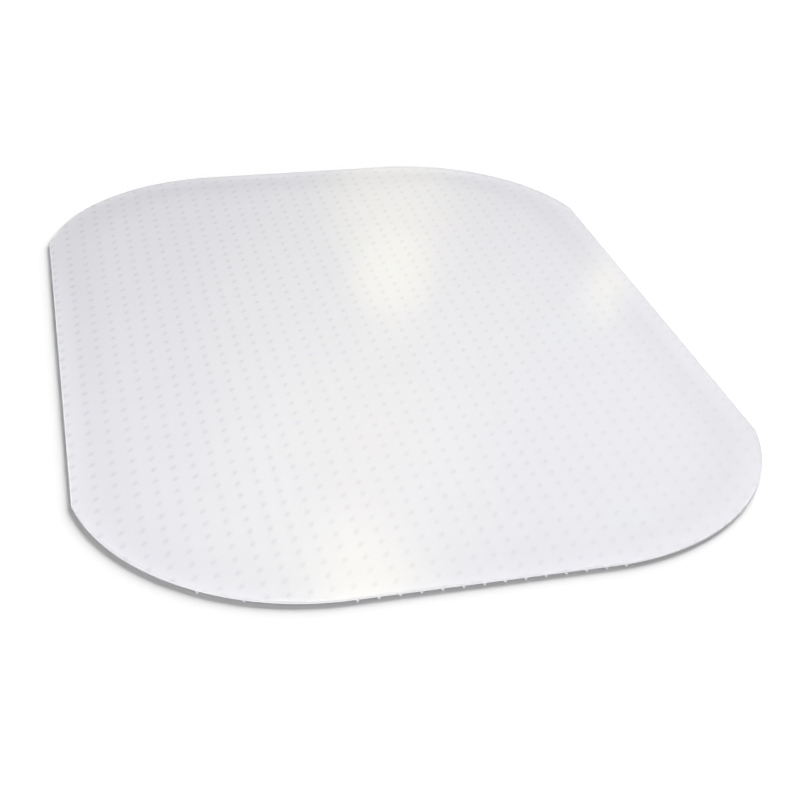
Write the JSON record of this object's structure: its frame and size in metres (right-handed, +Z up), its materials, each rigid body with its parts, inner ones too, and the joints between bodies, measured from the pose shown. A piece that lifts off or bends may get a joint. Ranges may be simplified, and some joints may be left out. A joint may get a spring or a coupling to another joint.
{
  "type": "chair mat",
  "caption": "Clear plastic chair mat for carpet: a thin flat sheet with large rounded corners and a square grid of gripping studs underneath.",
  "frame": {"origin": "on the floor plane that the stud tips touch, under the middle of the mat", "axes": "+X across the mat's width, +Y along its length and away from the picture's viewer, +Z up out of the rolling surface"},
  "size_m": [0.9144, 1.2192, 0.005],
  "materials": {
    "clear_sheet": "clear, faint lavender grey, satin gloss with a very fine grain",
    "clear_studs": "clear, faint lavender grey, smooth moulded"
  },
  "bodies": {
    "root": {"wear_sheet": "clear_sheet", "stud_backing_left": "clear_studs", "stud_backing_right": "clear_studs"}
  },
  "joints": []
}
